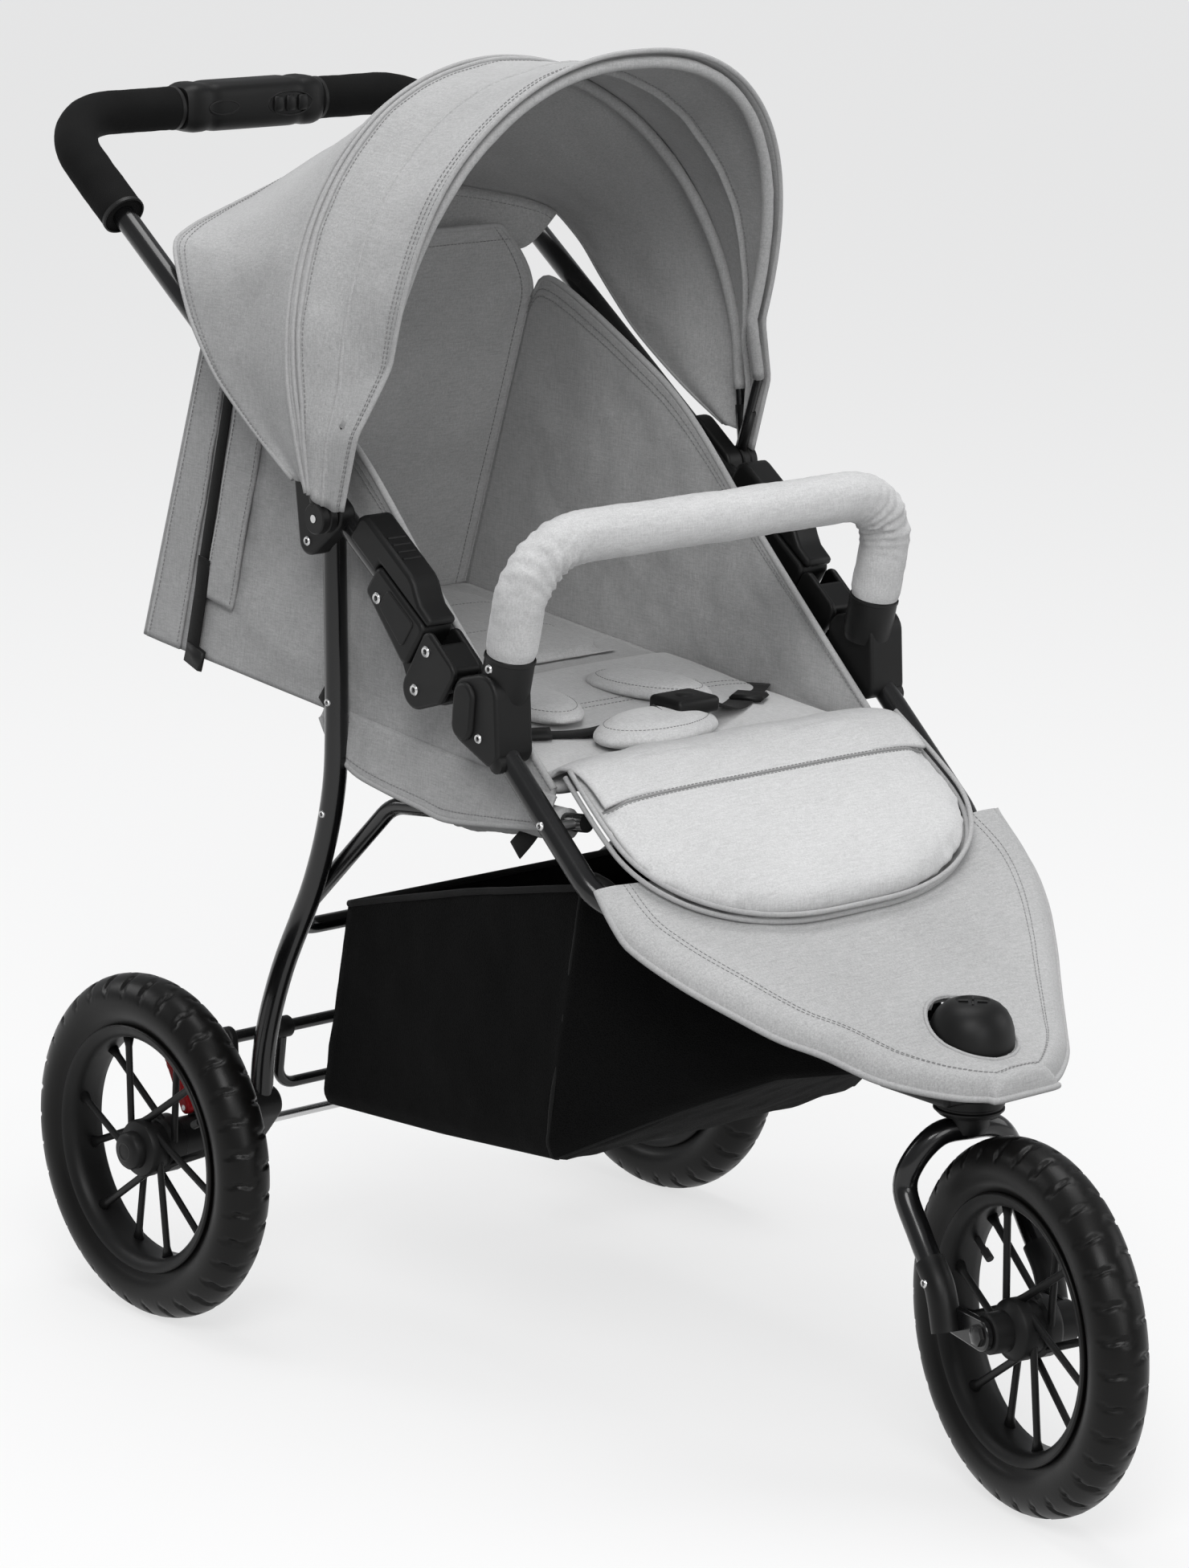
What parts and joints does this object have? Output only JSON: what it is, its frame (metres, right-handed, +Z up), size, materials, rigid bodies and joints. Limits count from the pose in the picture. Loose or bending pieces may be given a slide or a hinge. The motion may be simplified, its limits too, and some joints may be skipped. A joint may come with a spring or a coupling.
{
  "type": "stroller",
  "caption": "Folding pushchair with three air-tyred wheels, swivelling front fork, lift-off bumper bar, folding canopy, reclining seat and a shopping basket under the seat.",
  "frame": {"origin": "On the ground under the middle of the pushchair's length and width.", "axes": "+X to the pushchair's left, +Y to its rear (handle) end, +Z up; the front wheel is at -Y."},
  "size_m": [0.64, 1.212, 1.0934],
  "materials": {
    "frame_paint": "gloss black powder coat",
    "black_plastic": "fine moulded satin black",
    "grip_foam": "matt black foam",
    "tyre_rubber": "matt black with moulded tread",
    "axle_steel": "bright zinc",
    "seat_fabric": "heathered light grey linen weave",
    "pad_fabric": "pale grey padded linen weave",
    "basket_mesh": "black knitted mesh",
    "lever_red": "satin red"
  },
  "bodies": {
    "front_frame": {"front_tube_right": "frame_paint", "front_tube_left": "frame_paint", "headset_housing": "black_plastic", "headset_collar": "black_plastic", "footrest_panel": "seat_fabric", "hinge_lower_right": "black_plastic", "hinge_lower_left": "black_plastic", "hinge_pin_right": "axle_steel", "hinge_pin_left": "axle_steel", "bumper_socket_right": "black_plastic", "bumper_socket_left": "black_plastic", "seat_base": "seat_fabric", "calf_pad": "pad_fabric", "seat_side_right": "seat_fabric", "seat_side_left": "seat_fabric", "seat_rear_wall": "seat_fabric", "crotch_pad": "pad_fabric", "harness_buckle": "black_plastic", "shoulder_pad_right": "pad_fabric", "shoulder_pad_left": "pad_fabric", "basket": "basket_mesh"},
    "handle": {"handle_frame": "frame_paint", "fold_housing": "black_plastic", "handle_grip_right": "grip_foam", "handle_grip_left": "grip_foam", "hinge_upper_right": "black_plastic", "hinge_upper_left": "black_plastic", "canopy_bracket_right": "black_plastic", "canopy_bracket_left": "black_plastic", "canopy_rear_panel": "seat_fabric"},
    "latch_right": {"fold_latch_right": "black_plastic"},
    "latch_left": {"fold_latch_left": "black_plastic"},
    "fold_release": {"fold_button": "black_plastic"},
    "canopy_arch": {"main_bow": "frame_paint", "canopy_visor": "seat_fabric"},
    "canopy_front_arch": {"front_bow": "frame_paint"},
    "rear_frame": {"rear_leg_right": "frame_paint", "rear_leg_left": "frame_paint", "rear_crossbar": "frame_paint", "rear_axle": "frame_paint", "axle_block_right": "black_plastic", "axle_block_left": "black_plastic"},
    "brake": {"brake_bar": "frame_paint"},
    "wheel_lever_right": {"quick_release_lever_right": "lever_red"},
    "wheel_lever_left": {"quick_release_lever_left": "lever_red"},
    "under_seat_rail": {"seat_rail": "frame_paint"},
    "seat_back": {"backrest": "seat_fabric"},
    "bumper": {"bumper_bar": "frame_paint", "bumper_pad": "pad_fabric"},
    "bumper_release_right": {"bumper_button_right": "black_plastic"},
    "bumper_release_left": {"bumper_button_left": "black_plastic"},
    "steering_fork": {"fork": "frame_paint", "front_axle": "axle_steel"},
    "wheel_front": {"front_tyre": "tyre_rubber", "front_wheel": "black_plastic"},
    "wheel_rear_right": {"rear_right_tyre": "tyre_rubber", "rear_right_wheel": "black_plastic"},
    "wheel_rear_left": {"rear_left_tyre": "tyre_rubber", "rear_left_wheel": "black_plastic"},
    "swivel_lock": {"swivel_knob": "black_plastic"}
  },
  "joints": [
    {"name": "frame_fold", "type": "hinge", "parent": "front_frame", "child": "handle", "pos_m": [0, 0.057, 0.591], "axis": [-1, 0, 0], "range_deg": [0, 110], "deforming": ["basket", "seat_rear_wall", "seat_side_right", "seat_side_left"]},
    {"name": "rear_leg_fold", "type": "hinge", "parent": "handle", "child": "rear_frame", "pos_m": [0, 0.201, 0.69], "axis": [1, 0, 0], "range_deg": [0, 70]},
    {"name": "seat_rail_fold", "type": "hinge", "parent": "front_frame", "child": "under_seat_rail", "pos_m": [0, -0.094, 0.504], "axis": [-1, 0, 0], "range_deg": [0, 65]},
    {"name": "canopy_recline", "type": "hinge", "parent": "handle", "child": "canopy_arch", "pos_m": [0, 0.171, 0.715], "axis": [-1, 0, 0], "range_deg": [0, 40], "deforming": ["canopy_rear_panel"]},
    {"name": "canopy_front_tilt", "type": "hinge", "parent": "canopy_arch", "child": "canopy_front_arch", "pos_m": [0, 0.171, 0.715], "axis": [-1, 0, 0], "range_deg": [-15, 22], "deforming": ["canopy_visor"]},
    {"name": "backrest_recline", "type": "hinge", "parent": "front_frame", "child": "seat_back", "pos_m": [0, 0.226, 0.54297], "axis": [1, 0, 0], "range_deg": [0, 50]},
    {"name": "bumper_lift", "type": "slide", "parent": "front_frame", "child": "bumper", "axis": [0, -0.2132, 0.977], "range_m": [0, 0.05]},
    {"name": "fold_button_press", "type": "slide", "parent": "handle", "child": "fold_release", "axis": [0, 1, 0], "range_m": [0, 0.005], "stiffness_N_per_m": 600},
    {"name": "fold_latch_right_slide", "type": "slide", "parent": "handle", "child": "latch_right", "axis": [0, 0.8211, 0.5707], "range_m": [0, 0.012]},
    {"name": "fold_latch_left_slide", "type": "slide", "parent": "handle", "child": "latch_left", "axis": [0, 0.8211, 0.5707], "range_m": [0, 0.012]},
    {"name": "bumper_button_right_press", "type": "slide", "parent": "front_frame", "child": "bumper_release_right", "axis": [1, 0, 0], "range_m": [0, 0.003], "stiffness_N_per_m": 800},
    {"name": "bumper_button_left_press", "type": "slide", "parent": "front_frame", "child": "bumper_release_left", "axis": [-1, 0, 0], "range_m": [0, 0.003], "stiffness_N_per_m": 800},
    {"name": "swivel_knob_turn", "type": "hinge", "parent": "front_frame", "child": "swivel_lock", "pos_m": [0, -0.365, 0.36], "axis": [0, 0, 1], "range_deg": [0, 90]},
    {"name": "front_fork_swivel", "type": "hinge", "parent": "front_frame", "child": "steering_fork", "pos_m": [0, -0.365, 0.29], "axis": [0, 0, 1], "continuous": true},
    {"name": "front_wheel_spin", "type": "hinge", "parent": "steering_fork", "child": "wheel_front", "pos_m": [-0.0216, -0.45977, 0.15], "axis": [0.975, -0.2222, 0], "continuous": true},
    {"name": "rear_wheel_right_spin", "type": "hinge", "parent": "rear_frame", "child": "wheel_rear_right", "pos_m": [-0.2897, 0.326, 0.15], "axis": [1, 0, 0], "continuous": true},
    {"name": "rear_wheel_left_spin", "type": "hinge", "parent": "rear_frame", "child": "wheel_rear_left", "pos_m": [0.2897, 0.326, 0.15], "axis": [1, 0, 0], "continuous": true},
    {"name": "brake_press", "type": "hinge", "parent": "rear_frame", "child": "brake", "pos_m": [0, 0.326, 0.231], "axis": [1, 0, 0], "range_deg": [0, 20]},
    {"name": "quick_release_right_turn", "type": "hinge", "parent": "rear_frame", "child": "wheel_lever_right", "pos_m": [-0.25, 0.33, 0.176], "axis": [-1, 0, 0], "range_deg": [0, 25]},
    {"name": "quick_release_left_turn", "type": "hinge", "parent": "rear_frame", "child": "wheel_lever_left", "pos_m": [0.25, 0.33, 0.176], "axis": [-1, 0, 0], "range_deg": [0, 25]}
  ],
  "couplings": [
    {"joint": "rear_leg_fold", "follows": "frame_fold", "ratio": 0.619},
    {"joint": "seat_rail_fold", "follows": "frame_fold", "ratio": 0.568},
    {"joint": "fold_latch_right_slide", "follows": "fold_button_press", "ratio": 2.4},
    {"joint": "fold_latch_left_slide", "follows": "fold_button_press", "ratio": 2.4}
  ]
}
